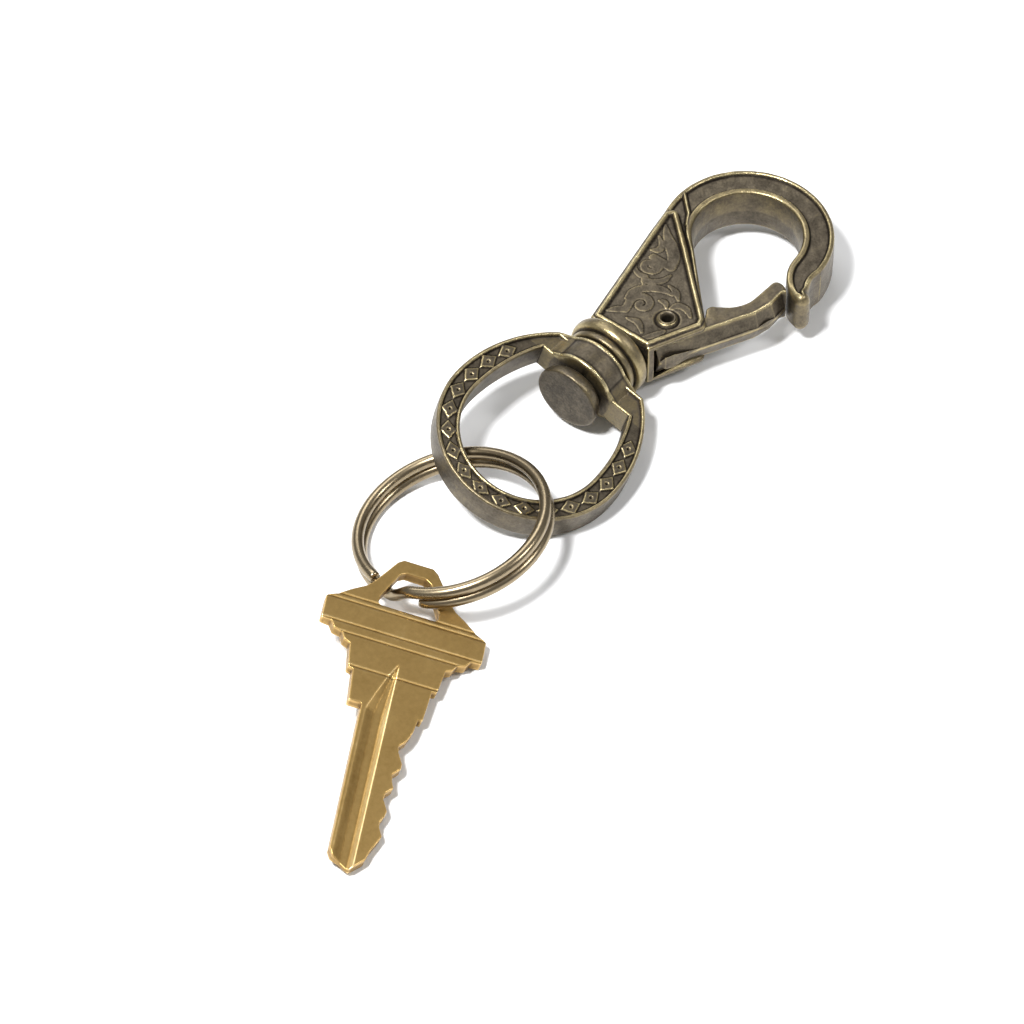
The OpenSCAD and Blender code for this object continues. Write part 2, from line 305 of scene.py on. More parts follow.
def curve_through(points, n=10):
    """A smooth open curve through the points (Catmull-Rom); extra columns are carried along."""
    pts = np.asarray(points, float)
    pts = np.vstack([2 * pts[0] - pts[1], pts, 2 * pts[-1] - pts[-2]])
    out = []
    for i in range(1, len(pts) - 2):
        for t in np.linspace(0, 1, n, endpoint=i == len(pts) - 3):
            a, b, c, d = pts[i - 1:i + 3]
            out.append(0.5 * (2 * b + (c - a) * t + (2 * a - 5 * b + 4 * c - d) * t * t
                              + (3 * b - a - 3 * c + d) * t ** 3))
    return np.array(out)


# ---------------------------------------------------------------- mesh making

def new_object(name, verts, faces):
    mesh = bpy.data.meshes.new(name)
    mesh.from_pydata((np.asarray(verts) * MM).tolist(), [], [tuple(map(int, f)) for f in faces])
    mesh.validate()
    mesh.update()
    mesh.shade_smooth()
    ob = bpy.data.objects.new(name, mesh)
    bpy.context.scene.collection.objects.link(ob)
    return ob


# Rows of points beside an outline, as shares of its edge radius, and rows down the side wall
EDGE_ROWS = (0.06, 0.2, 0.42, 0.7, 1.0)
WALL_ROWS = (0.03, 0.07, 0.13, 0.22, 0.32, 0.42, 0.47, 0.5, 0.53, 0.58, 0.68, 0.78, 0.87, 0.93, 0.97)


def relief_plate(name, outer, holes, height, pitch, edge_r, bulge=0.0):
    """A closed plate with the same relief on both faces. height(points, edge distance) gives half
    the thickness; rounded edges come from closely spaced rows of points along the outline. bulge
    is how far the side wall swells half way down, a number or a function of points."""
    loops = [closed_loop(outer, pitch)] + [closed_loop(h, pitch)[::-1] for h in holes]
    edge = np.vstack(loops)
    links = []
    rows = []
    start = 0
    for loop in loops:
        n = len(loop)
        links += [(start + i, start + (i + 1) % n) for i in range(n)]
        start += n
        tangent = np.roll(loop, -1, 0) - np.roll(loop, 1, 0)
        tangent /= np.maximum(np.linalg.norm(tangent, axis=1), 1e-9)[:, None]
        inward = np.stack([-tangent[:, 1], tangent[:, 0]], 1)
        rows += [(loop + inward * edge_r * k, edge_r * k) for k in EDGE_ROWS]

    def dist_to(p):
        return np.min([distance(p, loop) for loop in loops], axis=0)

    def in_plate(p):
        ok = inside(p, loops[0])
        for hole in loops[1:]:
            ok &= ~inside(p, hole)
        return ok

    points = [edge]
    for row, want in rows:
        # A row's point is left out where another part of the outline lies nearer
        points.append(row[dist_to(row) > want * 0.93])
    lo, hi = edge.min(0), edge.max(0)
    xs = np.arange(lo[0], hi[0], pitch)
    ys = np.arange(lo[1], hi[1], pitch * 0.87)      # rows of nearly equal-sided triangles
    gx, gy = np.meshgrid(xs, ys)
    gx[1::2] += pitch / 2
    grid = np.stack([gx.ravel(), gy.ravel()], 1)
    grid = grid[in_plate(grid)]
    grid = grid[dist_to(grid) > edge_r + pitch * 0.5]
    points.append(grid)
    flat = np.vstack(points)
    out = delaunay_2d_cdt([Vector(p) for p in flat], links, [], 0, 1e-6)
    xy = np.array([tuple(v) for v in out[0]])
    tris = np.array([f for f in out[2] if len(f) == 3])
    tris = tris[in_plate(xy[tris].mean(1))]
    a, b, c = (xy[tris[:, k]] for k in range(3))
    flip = (b[:, 0] - a[:, 0]) * (c[:, 1] - a[:, 1]) - (b[:, 1] - a[:, 1]) * (c[:, 0] - a[:, 0]) < 0
    tris[flip] = tris[flip][:, ::-1]
    # The sides are walked from the face's own open edges, so that they always join it
    pairs = np.vstack([tris[:, [0, 1]], tris[:, [1, 2]], tris[:, [2, 0]]])
    seen = {(int(p), int(q)) for p, q in pairs}
    rim = sorted((p, q) for p, q in seen if (q, p) not in seen)
    d = dist_to(xy)
    z = height(xy, d)
    n = len(xy)
    verts = [np.column_stack([xy, z]), np.column_stack([xy, -z])]
    faces = [tuple(t) for t in tris] + [tuple(t[::-1] + n) for t in tris]
    rim_ids = sorted({p for pair in rim for p in pair})
    place = {p: i for i, p in enumerate(rim_ids)}
    # Outward direction at each rim point, for a side wall that bulges a little
    push = np.zeros((len(rim_ids), 2))
    for p, q in rim:
        t = xy[q] - xy[p]
        t = np.array([t[1], -t[0]]) / max(float(np.hypot(*t)), 1e-9)
        push[place[p]] += t
        push[place[q]] += t
    push /= np.maximum(np.linalg.norm(push, axis=1), 1e-9)[:, None]
    columns = [rim_ids]
    base = 2 * n
    swell = bulge(xy[rim_ids]) if callable(bulge) else np.full(len(rim_ids), bulge)
    for f in WALL_ROWS:
        zz = z[rim_ids] * (1 - 2 * f)
        side = xy[rim_ids] + push * (swell * (1 - abs(1 - 2 * f) ** 1.6))[:, None]
        verts.append(np.column_stack([side, zz]))
        columns.append([base + i for i in range(len(rim_ids))])
        base += len(rim_ids)
    columns.append([p + n for p in rim_ids])
    for p, q in rim:
        i, j = place[p], place[q]
        for up, down in zip(columns, columns[1:]):
            faces.append((up[j], up[i], down[i], down[j]))
    return new_object(name, np.vstack(verts), faces)


def lathe(name, profile, origin, axis_turn, sides=128):
    """A closed solid of revolution about local Z from (radius, height) points, bottom to top."""
    profile = np.asarray(profile, float)
    angles = np.linspace(0, 2 * math.pi, sides, endpoint=False)
    verts, faces, rings = [], [], []
    for r, h in profile:
        if r < 1e-6:
            rings.append([len(verts)])
            verts.append((0, 0, h))
        else:
            rings.append(list(range(len(verts), len(verts) + sides)))
            verts += [(r * math.cos(a), r * math.sin(a), h) for a in angles]
    closed = rings + ([rings[0]] if len(rings[0]) > 1 else [])
    for low, high in zip(closed, closed[1:]):
        for i in range(sides):
            j = (i + 1) % sides
            if len(low) == 1 and len(high) == 1:
                continue
            if len(low) == 1:
                faces.append((low[0], high[j], high[i]))
            elif len(high) == 1:
                faces.append((low[i], low[j], high[0]))
            else:
                faces.append((low[i], low[j], high[j], high[i]))
    turned = np.array([axis_turn @ Vector(v) for v in verts]) + np.asarray(origin)
    return new_object(name, turned, faces)


def tube(name, path, radii, sides=20):
    """A closed round wire along a path; radii gives the wire's radius at each point."""
    path = np.asarray(path, float)
    tangent = np.gradient(path, axis=0)
    tangent /= np.linalg.norm(tangent, axis=1)[:, None]
    up = np.array([0.0, 0.0, 1.0])
    verts, faces = [], []
    for p, t, r in zip(path, tangent, radii):
        u = np.cross(up, t)
        u /= np.linalg.norm(u)
        v = np.cross(t, u)
        for k in range(sides):
            a = 2 * math.pi * k / sides
            verts.append(p + r * (math.cos(a) * u + math.sin(a) * v))
    for i in range(len(path) - 1):
        for k in range(sides):
            a, b = i * sides + k, i * sides + (k + 1) % sides
            faces.append((a, b, b + sides, a + sides))
    last = (len(path) - 1) * sides
    verts += [path[0], path[-1]]
    for k in range(sides):
        faces.append((len(verts) - 2, (k + 1) % sides, k))
        faces.append((len(verts) - 1, last + k, last + (k + 1) % sides))
    return new_object(name, verts, faces)


def prism(name, loop, stations):
    """A closed outline carried along local Z; each station is (height, outward offset). The ends
    fan out from the origin, so the outline lies round it."""
    loop = closed_loop(loop, 0.25)
    tangent = np.roll(loop, -1, 0) - np.roll(loop, 1, 0)
    tangent /= np.linalg.norm(tangent, axis=1)[:, None]
    out = np.stack([tangent[:, 1], -tangent[:, 0]], 1)
    n = len(loop)
    verts, faces = [], []
    for h, offset in stations:
        verts += [(p[0], p[1], h) for p in loop + out * offset]
    for i in range(len(stations) - 1):
        for k in range(n):
            a, b = i * n + k, i * n + (k + 1) % n
            faces.append((a, b, b + n, a + n))
    verts += [(0, 0, stations[0][0]), (0, 0, stations[-1][0])]
    last = (len(stations) - 1) * n
    for k in range(n):
        faces.append((len(verts) - 2, (k + 1) % n, k))
        faces.append((len(verts) - 1, last + k, last + (k + 1) % n))
    return new_object(name, verts, faces)


def settle(ob):
    """Applies the object's modifiers to its mesh."""
    bpy.context.view_layer.update()
    graph = bpy.context.evaluated_depsgraph_get()
    mesh = bpy.data.meshes.new_from_object(ob.evaluated_get(graph))
    ob.modifiers.clear()
    ob.data = mesh


def combine(ob, other, operation):
    """Joins or cuts with another solid, which is used up."""
    mod = ob.modifiers.new("combine", "BOOLEAN")
    mod.operation = operation
    mod.object = other
    mod.solver = "MANIFOLD"
    settle(ob)
    bpy.data.objects.remove(other)
    ob.data.shade_smooth()


def drill(ob, r, low, high, place, turn, sides=48):
    """Cuts a round hole about local Z, from height low to high."""
    hole = lathe("hole", [(0, low), (r, low), (r, high), (0, high)], place, turn, sides)
    combine(ob, hole, "DIFFERENCE")


def turn_matrix(degrees):
    """Turn about X, then Y, then Z."""
    x, y, z = (math.radians(d) for d in degrees)
    return Matrix.Rotation(z, 4, "Z") @ Matrix.Rotation(y, 4, "Y") @ Matrix.Rotation(x, 4, "X")


def put(ob, place, turn):
    """Moves the mesh itself, so that the object stays at the origin."""
    ob.data.transform(Matrix.Translation(Vector(place) * MM) @ turn)


def mark_wear_and_painted_light(ob, reach, scale, rubbed_and_lit):
    """Stores how far each point stands proud of its surroundings: +1 on worn edges, -1 in corners.
    reach is how many edges away the surroundings go and scale the height in mm that counts as 1.
    rubbed(points) adds wear where a piece is handled most, and on some pieces painted highlight and painted
    shade."""
    near_length = 0.22
    mesh = ob.data
    n = len(mesh.vertices)
    co = np.zeros(n * 3)
    mesh.vertices.foreach_get("co", co)
    co = co.reshape(-1, 3) / MM
    edges = np.zeros(len(mesh.edges) * 2, int)
    mesh.edges.foreach_get("vertices", edges)
    edges = edges.reshape(-1, 2)
    normal = np.zeros(n * 3)
    mesh.vertices.foreach_get("normal", normal)
    normal = normal.reshape(-1, 3)
    # Only near neighbours count, so that wear stays close to the edge that it belongs to
    near = np.exp(-(np.linalg.norm(co[edges[:, 0]] - co[edges[:, 1]], axis=1) / near_length) ** 2)
    count = 1 + np.bincount(edges[:, 0], near, n) + np.bincount(edges[:, 1], near, n)
    mean = co.copy()
    for _ in range(reach):
        total = mean.copy()
        for k in range(3):
            total[:, k] += np.bincount(edges[:, 0], near * mean[edges[:, 1], k], n)
            total[:, k] += np.bincount(edges[:, 1], near * mean[edges[:, 0], k], n)
        mean = total / count[:, None]
    proud = ((co - mean) * normal).sum(1) / scale
    # The placed term adds real wear, and on some pieces painted highlight and painted shade
    if rubbed_and_lit:
        proud = np.clip(proud, -1, 1) + rubbed_and_lit(co)
    layer = mesh.attributes.new("wear_and_painted_light", "FLOAT", "POINT")
    layer.data.foreach_set("value", np.clip(proud, -1, 1).astype(np.float32))


# ---------------------------------------------------------------- materials

def link(tree, a, b):
    tree.links.new(a, b)


def node(tree, kind, **values):
    made = tree.nodes.new(kind)
    for key, value in values.items():
        if key in made.inputs:
            made.inputs[key].default_value = value
        else:
            setattr(made, key, value)
    return made


def noise(tree, coords, scale, detail, rough, stretch=(1, 1, 1)):
    mapping = node(tree, "ShaderNodeMapping")
    mapping.inputs["Scale"].default_value = stretch
    link(tree, coords, mapping.inputs["Vector"])
    made = node(tree, "ShaderNodeTexNoise", Scale=scale, Detail=detail, Roughness=rough)
    link(tree, mapping.outputs["Vector"], made.inputs["Vector"])
    return made.outputs["Fac"]


def maths(tree, operation, a, b, clamp=False):
    made = node(tree, "ShaderNodeMath", operation=operation, use_clamp=clamp)
    for socket, value in zip(made.inputs, (a, b)):
        if isinstance(value, (int, float)):
            socket.default_value = value
        else:
            link(tree, value, socket)
    return made.outputs[0]


def about_half(tree, value, gain):
    """gain times how far the value lies above a half."""
    return maths(tree, "MULTIPLY", maths(tree, "SUBTRACT", value, 0.5), gain)


def ramp(tree, factor, stops):
    made = node(tree, "ShaderNodeValToRGB")
    while len(made.color_ramp.elements) < len(stops):
        made.color_ramp.elements.new(0.5)
    for element, (place, colour) in zip(made.color_ramp.elements, stops):
        element.position = place
        element.color = (*colour, 1)
    link(tree, factor, made.inputs["Fac"])
    return made.outputs["Color"]


def metal(name, stops, bias, wear_and_light_gain, grain, grain_depth, rough, rough_spread,
          metallic=1.0, speckle=0.3, scratch=0.0):
    """Antiqued brass: dark where the surface lies low, bright where edges have worn; painted highlight and
    painted shade stored with the wear on some pieces shift it too.

    stops are the colours from patina to worn metal, bias the place on them of plain surface and
    wear_and_light_gain how far the stored wear and painted light move it. grain is the noise scale,
    grain_depth its height in mm.
    """
    mat = bpy.data.materials.new(name)
    mat.use_nodes = True
    tree = mat.node_tree
    shader = tree.nodes["Principled BSDF"]
    shader.inputs["Metallic"].default_value = metallic
    coords = node(tree, "ShaderNodeTexCoord").outputs["Object"]
    # The stored value: wear and patina, and on some pieces painted highlight and painted shade
    wear_and_painted_light = node(tree, "ShaderNodeAttribute", attribute_name="wear_and_painted_light").outputs["Fac"]
    fine = noise(tree, coords, grain, 5.0, 0.65)
    cloud = noise(tree, coords, grain * 0.16, 3.0, 0.55)
    level = maths(tree, "MULTIPLY_ADD", wear_and_painted_light, wear_and_light_gain)
    level.node.inputs[2].default_value = bias
    level = maths(tree, "ADD", level, about_half(tree, fine, speckle))
    level = maths(tree, "ADD", level, about_half(tree, cloud, speckle), clamp=True)
    link(tree, ramp(tree, level, stops), shader.inputs["Base Color"])
    # Worn places are smoother than the patina
    shine = maths(tree, "SUBTRACT", rough, about_half(tree, level, rough_spread), clamp=True)
    link(tree, shine, shader.inputs["Roughness"])
    bump = node(tree, "ShaderNodeBump", Strength=1.0, Distance=grain_depth * MM)
    texture = fine
    if scratch:
        lines = noise(tree, coords, grain * 0.5, 2.0, 0.5, (1, 14, 14))
        texture = maths(tree, "ADD", fine, maths(tree, "MULTIPLY", lines, scratch))
    link(tree, texture, bump.inputs["Height"])
    link(tree, bump.outputs["Normal"], shader.inputs["Normal"])
    return mat


PATINA = [(0.0, (0.012, 0.009, 0.006)), (0.33, (0.062, 0.051, 0.037)), (0.5, (0.125, 0.104, 0.074)),
          (0.7, (0.23, 0.185, 0.105)), (0.86, (0.38, 0.31, 0.165)), (1.0, (0.58, 0.49, 0.28))]
WIRE_BRASS = [(0.0, (0.05, 0.038, 0.025)), (0.4, (0.19, 0.148, 0.098)),
              (0.7, (0.31, 0.25, 0.16)), (1.0, (0.46, 0.39, 0.26))]
KEY_BRASS = [(0.0, (0.09, 0.047, 0.014)), (0.3, (0.32, 0.20, 0.065)),
             (0.6, (0.54, 0.355, 0.13)), (1.0, (0.85, 0.66, 0.34))]
STEEL = [(0.0, (0.2, 0.2, 0.19)), (1.0, (0.6, 0.6, 0.58))]
CAST = metal("antique_cast_brass", PATINA, bias=0.455, wear_and_light_gain=0.55, grain=2600, grain_depth=0.055,
             rough=0.42, rough_spread=0.30, metallic=0.92, speckle=0.42)
RING = metal("antique_wire_brass", WIRE_BRASS, bias=0.52, wear_and_light_gain=0.3, grain=1500, grain_depth=0.008,
             rough=0.3, rough_spread=0.14, speckle=0.4)
KEY_MAT = metal("satin_key_brass", KEY_BRASS, bias=0.5, wear_and_light_gain=0.45, grain=1300, grain_depth=0.014,
                rough=0.38, rough_spread=0.16, speckle=0.32, scratch=0.8)
SPRING = metal("spring_wire", STEEL, bias=0.5, wear_and_light_gain=0.2, grain=2000, grain_depth=0.004,
               rough=0.3, rough_spread=0.1)


def finish_piece(ob, material, body, replaced, reach=3, scale=0.06, rubbed_and_lit=None):
    """Marks the wear, and on some pieces painted highlight and painted shade, sets the material and tells the
    frame what the piece is.
    """
    mark_wear_and_painted_light(ob, reach, scale, rubbed_and_lit)
    ob.data.materials.clear()
    ob.data.materials.append(material)
    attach(ob, body)
    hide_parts(replaced)


# ---------------------------------------------------------------- clip body

def nose_at(r, t):
    return NOSE_C + polar(r, NOSE_START + np.asarray(t, float))


eye_normal, eye_along = polar(1, EYE_TANGENT), polar(1, EYE_TANGENT + 90)
corner_c = eye_normal * (EYE_R + CORNER_R) + eye_along * CORNER_RUN
base_low = np.array([BASE_X, BASE_LOW_Y])
to_corner = corner_c - base_low
low_tilt = math.degrees(math.atan2(to_corner[1], to_corner[0])
                        - math.asin(CORNER_R / np.linalg.norm(to_corner)))
nose_t = np.linspace(0, NOSE_SWEEP, 60)
nose_outer_r = np.linalg.norm(NOSE_C) - HOOK_R + NOSE_FLARE * (nose_t / NOSE_SWEEP) ** 1.5
nose_outer = nose_at(nose_outer_r, nose_t)
nose_inner = nose_at(NOSE_IN_R, nose_t[::-1])
outer_side = np.vstack([[[BASE_X, BASE_TOP_Y]], arc((0, 0), HOOK_R, OUTER_TANGENT, HOOK_END), nose_outer])
nose_heading = NOSE_START + NOSE_SWEEP
nose_end = arc(nose_at(NOSE_IN_R - NOSE_END_R, NOSE_SWEEP), NOSE_END_R,
               nose_heading + 180 - NOSE_END_TRIM, nose_heading + NOSE_END_TRIM)
inner_side = np.vstack([nose_inner, arc((0, 0), EYE_R, EYE_END, EYE_TANGENT),
                        arc(corner_c, CORNER_R, EYE_TANGENT + 180, low_tilt + 270), [base_low]])
clip_outline = np.vstack([outer_side, nose_end, inner_side])

# Raised frame round the body's panel: its corners and their radii
frame_points = [(-26.15, 8.0), (-4.1, 11.75), (-2.5, 10.7), (-7.7, 5.1), (-17.2, -4.9), (-18.5, -5.3),
                (-26.15, -1.5)]
frame_radii = [0.5, 0.9, 0.8, 5.0, 0.9, 0.9, 0.5]
frame_outline = closed_loop(round_corners(frame_points, frame_radii), FRAME_PITCH)


def volute(centre, r0, r1, a0, turns, w0, w1, n=30):
    """A spiral from radius r0 to r1, with half-widths from w0 to w1."""
    t = np.linspace(0, 1, n)
    xy = np.asarray(centre) + polar(r0 + (r1 - r0) * t, a0 + 360 * turns * t)
    return np.column_stack([xy, w0 + (w1 - w0) * t])


# Scrolls and leaves on the body's panel: centre lines with half-widths
upper_eye, lower_eye = np.array([-13.5, 7.4]), np.array([-20.1, 3.95])
SCROLLS = [
    np.vstack([volute(upper_eye, 0.25, 1.65, -60, 1.22, 0.28, 0.42),
               curve_through([(-12.0, 4.75, 0.5), (-10.2, 5.6, 0.62), (-8.6, 7.3, 0.62), (-7.2, 9.0, 0.38),
                              (-5.9, 10.2, 0.08)])]),
    volute(upper_eye + (-0.1, 0.1), 2.0, 2.25, 100, 0.28, 0.1, 0.34, 14),
    np.vstack([volute(lower_eye, 0.25, 1.75, 60, 1.15, 0.28, 0.42),
               curve_through([(-22.3, 5.2, 0.4), (-23.0, 6.2, 0.36), (-24.0, 7.1, 0.1)])]),
    curve_through([(-20.6, 6.35, 0.12), (-19.0, 6.3, 0.42), (-17.3, 5.2, 0.46), (-16.2, 3.4, 0.4),
                   (-16.1, 1.5, 0.12)]),
    curve_through([(-16.9, 6.0, 0.12), (-16.2, 6.3, 0.34), (-15.9, 5.3, 0.36), (-14.7, 4.2, 0.3),
                   (-13.3, 3.9, 0.08)]),
    curve_through([(-11.0, 9.0, 0.08), (-10.4, 8.2, 0.34), (-9.4, 8.3, 0.3), (-8.2, 9.7, 0.06)]),
    curve_through([(-23.5, 4.0, 0.1), (-23.2, 2.4, 0.36), (-24.4, 0.8, 0.12)]),
    curve_through([(-25.0, -0.1, 0.2), (-23.6, -1.0, 0.34), (-22.3, -1.6, 0.14)]),
    curve_through([(-18.4, 0.1, 0.14), (-17.3, -0.3, 0.36), (-17.1, -1.6, 0.34), (-17.9, -3.0, 0.12)]),
    curve_through([(-18.1, 2.3, 0.1), (-17.9, 1.5, 0.3), (-18.5, 0.8, 0.1)]),
    curve_through([(-15.0, 2.9, 0.08), (-15.4, 1.4, 0.3), (-16.4, 0.2, 0.08)]),
]
# Bent rib where the hook meets the body
V_RIB = np.array([(1.05, 12.0), (-1.95, 9.0), (-3.7, 8.05)])


def scroll_lift(p):
    """0 on the ground of the panel and 1 on top of the scrolls, with a soft shoulder."""
    fatten, shoulder = 1.3, 0.13
    lift = np.zeros(len(p))
    for stroke in SCROLLS:
        for a, b in zip(stroke, stroke[1:]):
            d, t = segment_distance(p, a[:2], b[:2])
            w = fatten * (a[2] + (b[2] - a[2]) * t)
            lift = np.maximum(lift, 1 - smooth(d, w, w + shoulder))
    return lift


def edge_drop(d, r):
    """How far an edge of radius r has rounded off, at distance d from the outline."""
    inset = np.clip(r - d, 0, r)
    return r - np.sqrt(np.maximum(r * r - inset * inset, 0))


def clip_height(p, d):
    # The hook's face is sunk between its rims and thickens a little towards the body
    d_out = distance(p, outer_side, closed=False)
    d_in = distance(p, inner_side, closed=False)
    f = depth(p, frame_outline)
    body = smooth(-p[:, 0], *HOOK_TO_BODY)
    h = HOOK_HALF_T + BODY_SWELL * body
    inner_rim = INNER_RIM_W - BODY_RIM_NARROWS * body
    sunk = smooth(d_out, RIM_W, RIM_W + 0.24) * smooth(d_in, inner_rim, inner_rim + 0.25)
    sunk = sunk * smooth(distance(p, nose_end, closed=False), 1.0, 1.4)
    h = h - RIM_DROP * sunk * smooth(-f, 0.0, 0.22)
    rib = distance(p, V_RIB, closed=False)
    h = np.maximum(h, HOOK_HALF_T + RIB_RISE - RIB_STEEPNESS * rib ** 2)
    # Raised frame, then the panel inside it
    band = np.clip((f - 0.46) / 0.46, -1, 1)
    h = np.where(f > 0, BODY_HALF_T - FRAME_CROWN * np.abs(band) ** 2.6, h)
    panel = PANEL_Z + SCROLL_RISE * scroll_lift(p)
    fillet = FILLET_H * (1 - smooth(f, FRAME_W, FRAME_W + FILLET_W))
    h = np.where(f > FRAME_W, np.minimum(h, panel + fillet), h)
    # Lip round the gate's pin, with a fine groove about it
    q = np.hypot(p[:, 0] - PIVOT[0], p[:, 1] - PIVOT[1])
    h = np.where(q < LIP_R, np.maximum(h, LIP_Z - LIP_SLOPE * np.clip(q - LIP_FLAT_R, 0, 1)), h)
    h = h - LIP_GROOVE_DEPTH * np.clip(1 - np.abs(q - LIP_R) / LIP_GROOVE_HALF_W, 0, 1)
    # The nose ends rounded
    heading = np.degrees(np.arctan2(p[:, 1] - NOSE_C[1], p[:, 0] - NOSE_C[0]))
    tip = smooth(heading, 130, 165) * (p[:, 1] < -9)
    return h - edge_drop(d, CLIP_EDGE_R) - tip * np.clip(1 - d / 1.1, 0, 1) ** 2


def cast_surface(p, scale=0.012):
    """A slight, even unevenness of the cast faces, the same on every run."""
    x, y = p[:, 0], p[:, 1]
    return scale * (np.sin(2.3 * x + 1.1 * np.sin(1.7 * y)) + np.sin(3.1 * y + 0.9 * np.sin(2.6 * x + 1)))


def eye_bulge(p):
    """The eye's wall rises to a parting line half way through; the other walls are nearly flat."""
    r = np.hypot(p[:, 0], p[:, 1])
    return 0.05 + 0.3 * (r < EYE_R + 0.1) * smooth(p[:, 1], -7.9, -6.0)


body_ob = relief_plate("clip_body_cast", clip_outline, [],
                       lambda p, d: clip_height(p, d) + cast_surface(p),
                       pitch=0.13, edge_r=CLIP_EDGE_R, bulge=eye_bulge)

# Slot for the gate, open on the mouth's side, and the bore for its pin
slot_middle = (-17, -5)
slot_points = [(-25.6, -0.2), (-22.6, 2.2), (-9.0, 2.2), (-9.0, -14.0), (-25.6, -14.0)]
slot = prism("slot", [(x - slot_middle[0], y - slot_middle[1]) for x, y in slot_points],
             [(-SLOT_HALF_T, 0), (SLOT_HALF_T, 0)])
put(slot, (*slot_middle, 0), Matrix.Identity(4))
combine(body_ob, slot, "DIFFERENCE")
drill(body_ob, PIN_R, -BORE_HALF_L, BORE_HALF_L, PIN_AT, UPRIGHT)


# Collar and neck, turned about the swivel axis
def bead(r, half_w, centre):
    """Rounded rim of a disc, as (radius, height) points on a squared ellipse."""
    bend, share = 2 / 2.4, 0.72
    out = []
    for a in np.radians(np.linspace(-90, 90, 14)):
        c, s = abs(math.cos(a)) ** bend, abs(math.sin(a)) ** bend
        out.append((r - half_w * share * (1 - c), centre + half_w * math.copysign(s, a)))
    return out


neck = [(4.7, 1.85), (4.2, 2.1), (4.0, 2.4), (3.5, NECK_END), (0, NECK_END)]
collar_profile = ([(0, -COLLAR_HALF_W), (4.4, -COLLAR_HALF_W)] + bead(5.55, 0.55, -COLLAR_HALF_W + 0.55)
                  + [(5.3, -0.52)] + bead(COLLAR_R, 1.05, 0.62) + neck)
combine(body_ob, lathe("collar", collar_profile, SWIVEL, TO_HOOK), "UNION")


def clip_wear_and_highlight(p):
    """Worn on the frame, the rims and the collar, with a painted highlight on the upper half of the eye's
    wall.
    """
    f = depth(p[:, :2], frame_outline)
    inner = distance(p[:, :2], inner_side, closed=False)
    high = smooth(np.abs(p[:, 2]), 3.0, 3.4)
    band = np.exp(-((f - 0.45) / 0.3) ** 2) * smooth(np.abs(p[:, 2]), 3.75, 3.95)
    rim = np.exp(-((inner - 0.45) / 0.35) ** 2) * high * (p[:, 0] > -6)
    # Painted highlight: the upper half of the eye's wall is lightened, the lower half not
    upper_wall_highlight = (inner < 0.4) * (np.hypot(p[:, 0], p[:, 1]) < 9) * smooth(p[:, 2], -0.2, 0.2) * (1 - high)
    collar_r = np.hypot(p[:, 1] - SWIVEL[1], p[:, 2])
    collar = (p[:, 0] < BASE_X - 0.4) * smooth(collar_r, 5.6, 6.2)
    outer = distance(p[:, :2], outer_side, closed=False)
    outer_rim = np.exp(-((outer - 0.35) / 0.3) ** 2) * high * (p[:, 0] > -3)
    return 0.38 * band + 0.4 * rim + 0.25 * outer_rim + 0.22 * upper_wall_highlight + 0.1 * collar


finish_piece(body_ob, CAST, "clip", "clip_body", rubbed_and_lit=clip_wear_and_highlight)


# ---------------------------------------------------------------- gate

gate_points = [(-25.0, -2.9), (-19.3, -5.85), (-11.3, -10.15), (-8.3, -10.95), (-5.9, -10.95), (-4.95, -10.4),
               (-4.4, -9.75), (-4.2, -9.0), (-4.35, -8.35), (-4.9, -7.98), (-6.3, -7.85), (-8.2, -7.7),
               (-9.9, -7.45), (-11.4, -6.65), (-12.5, -5.6), (-13.3, -4.4), (-13.8, -3.7), (-14.6, -3.45),
               (-15.5, -3.9), (-16.4, -4.0), (-17.9, -1.6)]
hub = list(PIVOT + polar(HUB_R, np.array([5, 35, 65, 95, 125])))
gate_loop = curve_through(np.vstack([gate_points[1:], hub, gate_points[:2]]), 6)[:-1]
gate_back = np.array(gate_points[:5])


def gate_height(p, d):
    """The gate is folded along its back, with a fine ridge beside the fold."""
    back = distance(p, gate_back, closed=False)
    h = BACK_HALF_T + GATE_SWELL * np.clip(back / 0.95, 0, 1)
    ridge = 0.06 * np.exp(-((back - 1.0) / 0.14) ** 2)
    return h + ridge - np.where(back > 0.9, edge_drop(d, GATE_EDGE_R), 0) + cast_surface(p, 0.01)


gate_ob = relief_plate("gate_cast", gate_loop, [], gate_height, pitch=0.14, edge_r=GATE_EDGE_R)
drill(gate_ob, PIN_R + RUNNING, -BORE_HALF_L, BORE_HALF_L, PIN_AT, UPRIGHT)
drill(gate_ob, POCKET_R, -POCKET_HALF_T, POCKET_HALF_T, PIN_AT, UPRIGHT)


def gate_rubbed(p):
    """Worn along the fold of its back, the ridge beside it and the faces."""
    back = distance(p[:, :2], gate_back, closed=False)
    ridge = np.exp(-(np.hypot(back, p[:, 2] * 0.6) / 0.14) ** 2) + np.exp(-((back - 0.98) / 0.12) ** 2)
    return 0.75 * ridge + 0.12 * (np.abs(p[:, 2]) > 2.6)


finish_piece(gate_ob, CAST, "gate", "gate", rubbed_and_lit=gate_rubbed)

# Gate pin: a tube with a rolled lip at each end. The two points at half height aren't repeated
half_pin = [(0.7, 0.0), (0.7, 3.5), (0.76, 3.75), (0.9, 3.98), (1.04, 4.12), (1.15, 4.15), (1.25, 4.1),
            (1.3, 3.96), (1.0, 3.95), (0.99, 3.9), (0.99, 0.0)]
pin_loop = half_pin + [(r, -h) for r, h in half_pin[-2:0:-1]]
pin_ob = lathe("gate_pin_tube", pin_loop[::-1], PIN_AT, UPRIGHT, 64)
finish_piece(pin_ob, CAST, "clip", "gate_pin", reach=2, scale=0.12)

